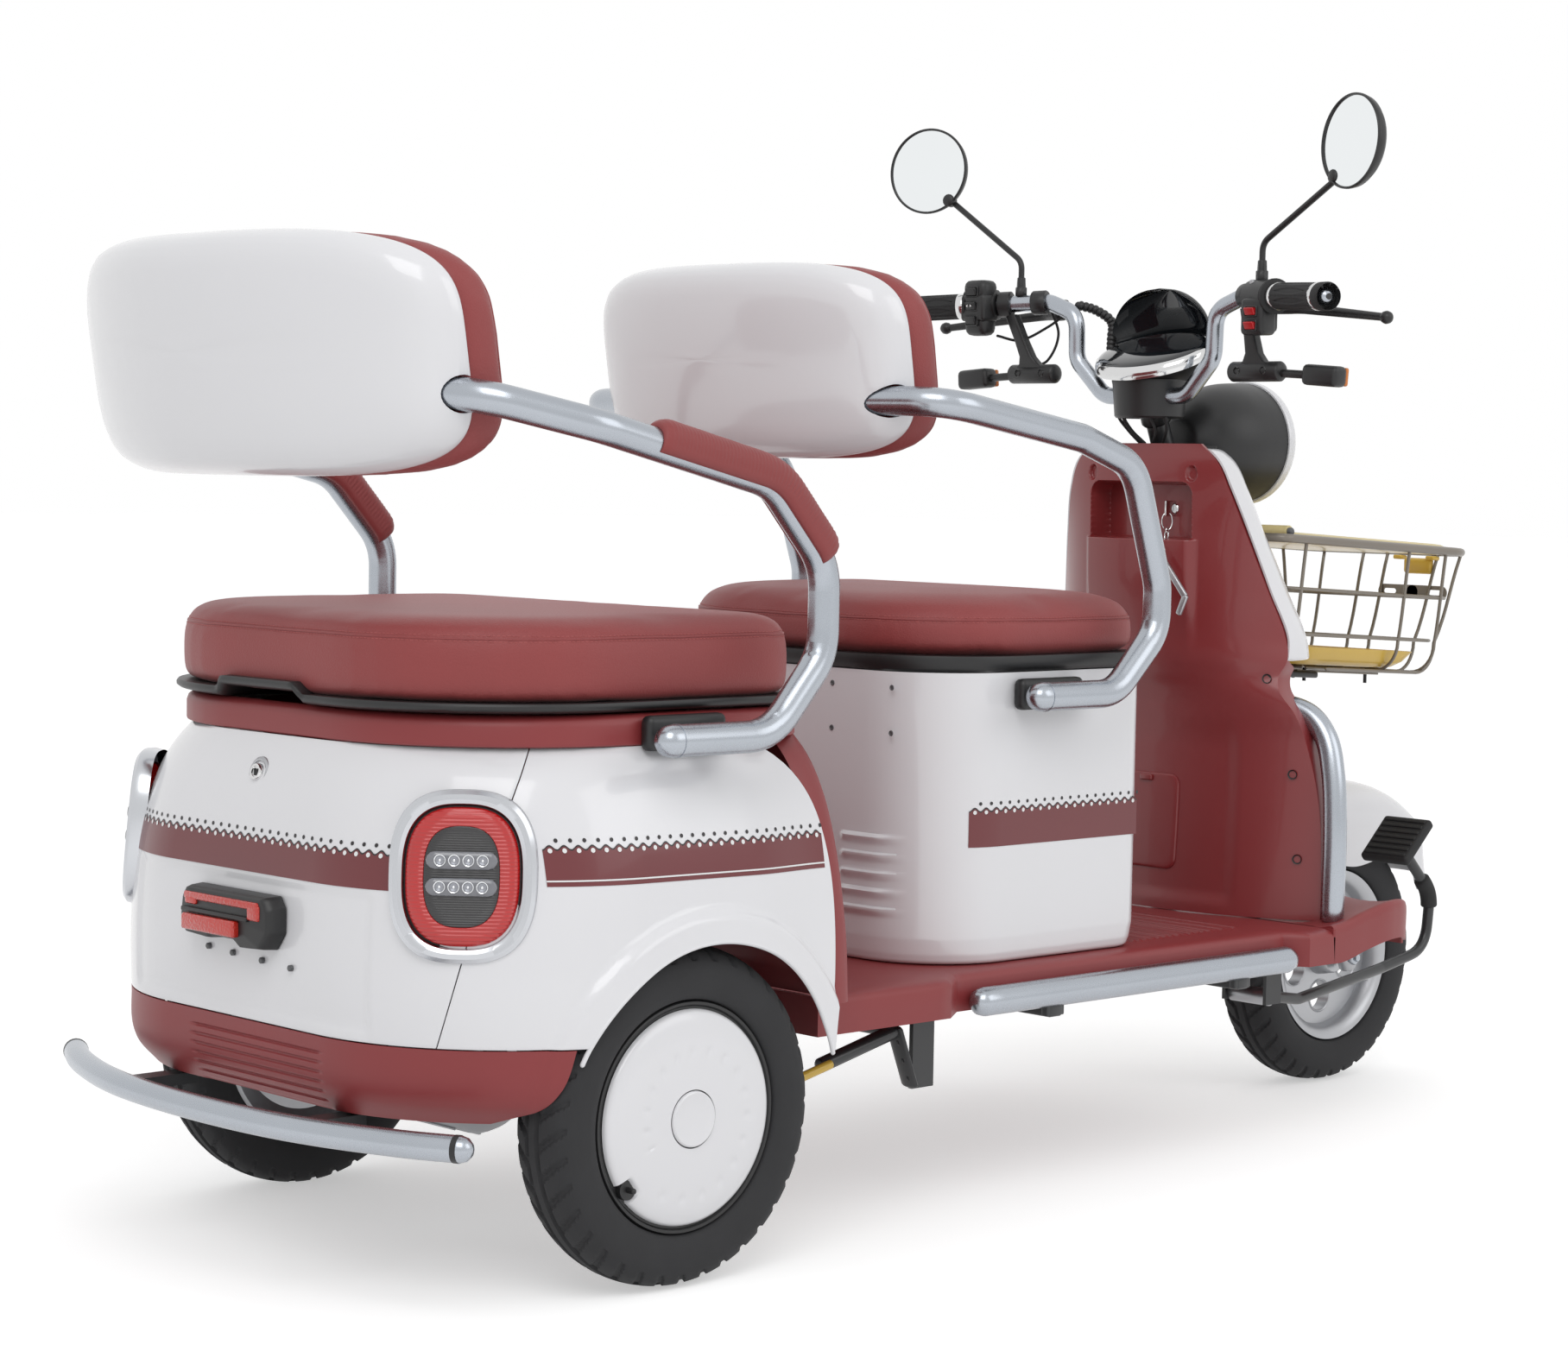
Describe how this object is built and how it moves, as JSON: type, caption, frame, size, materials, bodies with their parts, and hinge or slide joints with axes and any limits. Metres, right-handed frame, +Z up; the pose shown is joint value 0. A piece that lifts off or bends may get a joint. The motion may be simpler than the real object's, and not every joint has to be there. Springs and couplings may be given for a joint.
{
  "type": "electric tricycle",
  "caption": "Electric passenger tricycle: driver's seat over a battery box, rear bench with back and arm bars, white and brick red fairings, wire basket, swept handlebar.",
  "frame": {"origin": "on the ground, under the middle of the whole tricycle", "axes": "+Z up, -Y forwards, +X to the driver's left"},
  "size_m": [0.8282, 2.0544, 1.3],
  "materials": {
    "main_frame": "black paint",
    "rear_panel": "gloss white lacquer",
    "side_panel_right": "gloss white lacquer",
    "side_panel_left": "gloss white lacquer",
    "rear_skirt": "brick red, fine grain",
    "rear_inner_body": "brick red, fine grain",
    "rear_seat_pan": "black, fine grain",
    "rear_seat_cushion": "brick red, soft sheen",
    "seat_lock": "bright",
    "tail_lamp_right": "clear red",
    "tail_lamp_left": "clear red",
    "plate_bracket": "black, fine grain",
    "rear_bumper": "satin tube",
    "rear_armrest": "satin tube",
    "rear_arm_pad_right": "brick red, soft sheen",
    "rear_arm_pad_left": "brick red, soft sheen",
    "rear_backrest_shell": "gloss white lacquer",
    "rear_backrest_cushion": "brick red, soft sheen",
    "battery_box": "gloss white lacquer",
    "battery": "blue grey",
    "front_seat_pan": "black, fine grain",
    "front_seat_cushion": "brick red, soft sheen",
    "front_armrest": "satin tube",
    "front_backrest_shell": "gloss white lacquer",
    "front_backrest_cushion": "brick red, soft sheen",
    "footboard": "brick red, fine grain",
    "side_guard": "satin tube",
    "apron": "brick red, fine grain",
    "front_cover": "gloss white lacquer",
    "leg_guard": "satin tube",
    "ignition_key": "bright",
    "headlamp": "black gloss bowl",
    "basket": "grey brown wire",
    "basket_lid": "pale yellow",
    "front_fender": "gloss white lacquer",
    "fork": "black paint",
    "front_tyre": "black rubber",
    "front_rim": "satin",
    "handlebar": "satin tube",
    "display": "black, fine grain",
    "throttle_grip": "ribbed black",
    "switch_housing_right": "black, fine grain",
    "switch_housing_left": "black, fine grain",
    "start_button": "red",
    "speed_button": "red",
    "lamp_button": "dark grey",
    "turn_button": "dark grey",
    "horn_button": "dark grey",
    "brake_lever_right": "black, fine grain",
    "brake_lever_left": "black, fine grain",
    "mirror_right": "black, fine grain",
    "mirror_left": "black, fine grain",
    "indicator_right": "black, fine grain",
    "indicator_left": "black, fine grain",
    "rear_axle": "black paint",
    "rear_tyre_right": "black rubber",
    "rear_tyre_left": "black rubber",
    "rear_rim_right": "white cover",
    "rear_rim_left": "white cover",
    "brake_pedal": "black paint"
  },
  "bodies": {
    "chassis": {"main_frame": "main_frame", "rear_panel": "rear_panel", "side_panel_right": "side_panel_right", "side_panel_left": "side_panel_left", "rear_skirt": "rear_skirt", "rear_inner_body": "rear_inner_body", "tail_lamp_right": "tail_lamp_right", "tail_lamp_left": "tail_lamp_left", "plate_bracket": "plate_bracket", "rear_bumper": "rear_bumper", "rear_armrest": "rear_armrest", "rear_arm_pad_right": "rear_arm_pad_right", "rear_arm_pad_left": "rear_arm_pad_left", "rear_backrest_shell": "rear_backrest_shell", "rear_backrest_cushion": "rear_backrest_cushion", "battery_box": "battery_box", "battery": "battery", "front_armrest": "front_armrest", "front_backrest_shell": "front_backrest_shell", "front_backrest_cushion": "front_backrest_cushion", "footboard": "footboard", "side_guard": "side_guard", "apron": "apron", "front_cover": "front_cover", "leg_guard": "leg_guard", "headlamp": "headlamp", "basket": "basket", "rear_axle": "rear_axle"},
    "steering": {"fork": "fork", "front_fender": "front_fender", "handlebar": "handlebar", "display": "display", "switch_housing_right": "switch_housing_right", "switch_housing_left": "switch_housing_left", "indicator_right": "indicator_right", "indicator_left": "indicator_left"},
    "front_wheel": {"front_tyre": "front_tyre", "front_rim": "front_rim"},
    "rear_wheel_right": {"rear_tyre_right": "rear_tyre_right", "rear_rim_right": "rear_rim_right"},
    "rear_wheel_left": {"rear_tyre_left": "rear_tyre_left", "rear_rim_left": "rear_rim_left"},
    "rear_seat": {"rear_seat_pan": "rear_seat_pan", "rear_seat_cushion": "rear_seat_cushion"},
    "front_seat": {"front_seat_pan": "front_seat_pan", "front_seat_cushion": "front_seat_cushion"},
    "throttle": {"throttle_grip": "throttle_grip"},
    "lever_right": {"brake_lever_right": "brake_lever_right"},
    "lever_left": {"brake_lever_left": "brake_lever_left"},
    "mirror_right": {"mirror_right": "mirror_right"},
    "mirror_left": {"mirror_left": "mirror_left"},
    "start_button": {"start_button": "start_button"},
    "speed_button": {"speed_button": "speed_button"},
    "lamp_button": {"lamp_button": "lamp_button"},
    "turn_button": {"turn_button": "turn_button"},
    "horn_button": {"horn_button": "horn_button"},
    "pedal": {"brake_pedal": "brake_pedal"},
    "key": {"ignition_key": "ignition_key"},
    "lock": {"seat_lock": "seat_lock"},
    "basket_lid": {"basket_lid": "basket_lid"}
  },
  "joints": [
    {"name": "steering_turn", "type": "hinge", "parent": "chassis", "child": "steering", "pos_m": [0, -0.4629, 0.93], "axis": [0, 0.3907, 0.9205], "range_deg": [-30, 30]},
    {"name": "front_wheel_spin", "type": "hinge", "parent": "steering", "child": "front_wheel", "pos_m": [0, -0.8404, 0.176], "axis": [1, 0, 0], "continuous": true},
    {"name": "rear_wheel_right_spin", "type": "hinge", "parent": "chassis", "child": "rear_wheel_right", "pos_m": [-0.32, 0.6471, 0.176], "axis": [1, 0, 0], "continuous": true},
    {"name": "rear_wheel_left_spin", "type": "hinge", "parent": "chassis", "child": "rear_wheel_left", "pos_m": [0.32, 0.6471, 0.176], "axis": [1, 0, 0], "continuous": true},
    {"name": "rear_seat_lift", "type": "hinge", "parent": "chassis", "child": "rear_seat", "pos_m": [0, 0.4306, 0.5866], "axis": [1, 0, 0], "range_deg": [0, 18]},
    {"name": "front_seat_lift", "type": "hinge", "parent": "chassis", "child": "front_seat", "pos_m": [0, 0.1926, 0.6064], "axis": [-1, 0, 0], "range_deg": [0, 45]},
    {"name": "throttle_twist", "type": "hinge", "parent": "steering", "child": "throttle", "pos_m": [-0.3, -0.38836, 1.05593], "axis": [-0.9264, 0.3743, -0.0417], "range_deg": [0, 60], "stiffness_Nm_per_rad": 0.25, "springref_deg": -11.46},
    {"name": "brake_lever_right_pull", "type": "hinge", "parent": "steering", "child": "lever_right", "pos_m": [-0.1765, -0.4779, 1.0492], "axis": [0, 0, -1], "range_deg": [0, 14], "stiffness_Nm_per_rad": 1.5, "springref_deg": -5.73},
    {"name": "brake_lever_left_pull", "type": "hinge", "parent": "steering", "child": "lever_left", "pos_m": [0.1765, -0.4779, 1.0492], "axis": [0, 0, 1], "range_deg": [0, 14], "stiffness_Nm_per_rad": 1.5, "springref_deg": -5.73},
    {"name": "mirror_right_turn", "type": "hinge", "parent": "steering", "child": "mirror_right", "pos_m": [-0.205, -0.4267, 1.08], "axis": [0, 0, 1], "range_deg": [-25, 25]},
    {"name": "mirror_left_turn", "type": "hinge", "parent": "steering", "child": "mirror_left", "pos_m": [0.203, -0.4275, 1.08], "axis": [0, 0, 1], "range_deg": [-25, 25]},
    {"name": "brake_pedal_press", "type": "hinge", "parent": "chassis", "child": "pedal", "pos_m": [-0.215, -0.4309, 0.182], "axis": [1, 0, 0], "range_deg": [0, 7], "stiffness_Nm_per_rad": 30, "springref_deg": -8.59},
    {"name": "ignition_turn", "type": "hinge", "parent": "chassis", "child": "key", "pos_m": [-0.034, -0.4816, 0.792], "axis": [0, 1, 0], "range_deg": [0, 60]},
    {"name": "seat_lock_turn", "type": "hinge", "parent": "chassis", "child": "lock", "pos_m": [0, 0.9281, 0.514], "axis": [0, 1, 0], "range_deg": [0, 90]},
    {"name": "basket_lid_lift", "type": "hinge", "parent": "chassis", "child": "basket_lid", "pos_m": [0, -0.5672, 0.7485], "axis": [-1, 0, 0], "range_deg": [0, 18]},
    {"name": "start_button_push", "type": "slide", "parent": "steering", "child": "start_button", "axis": [0, -1, 0], "range_m": [0, 0.002], "stiffness_N_per_m": 400, "springref_m": -0.001},
    {"name": "speed_button_push", "type": "slide", "parent": "steering", "child": "speed_button", "axis": [0, -1, 0], "range_m": [0, 0.002], "stiffness_N_per_m": 400, "springref_m": -0.001},
    {"name": "lamp_button_push", "type": "slide", "parent": "steering", "child": "lamp_button", "axis": [0, -1, 0], "range_m": [0, 0.002], "stiffness_N_per_m": 400, "springref_m": -0.001},
    {"name": "turn_button_push", "type": "slide", "parent": "steering", "child": "turn_button", "axis": [0, -1, 0], "range_m": [0, 0.002], "stiffness_N_per_m": 400, "springref_m": -0.001},
    {"name": "horn_button_push", "type": "slide", "parent": "steering", "child": "horn_button", "axis": [0, -1, 0], "range_m": [0, 0.002], "stiffness_N_per_m": 400, "springref_m": -0.001}
  ]
}
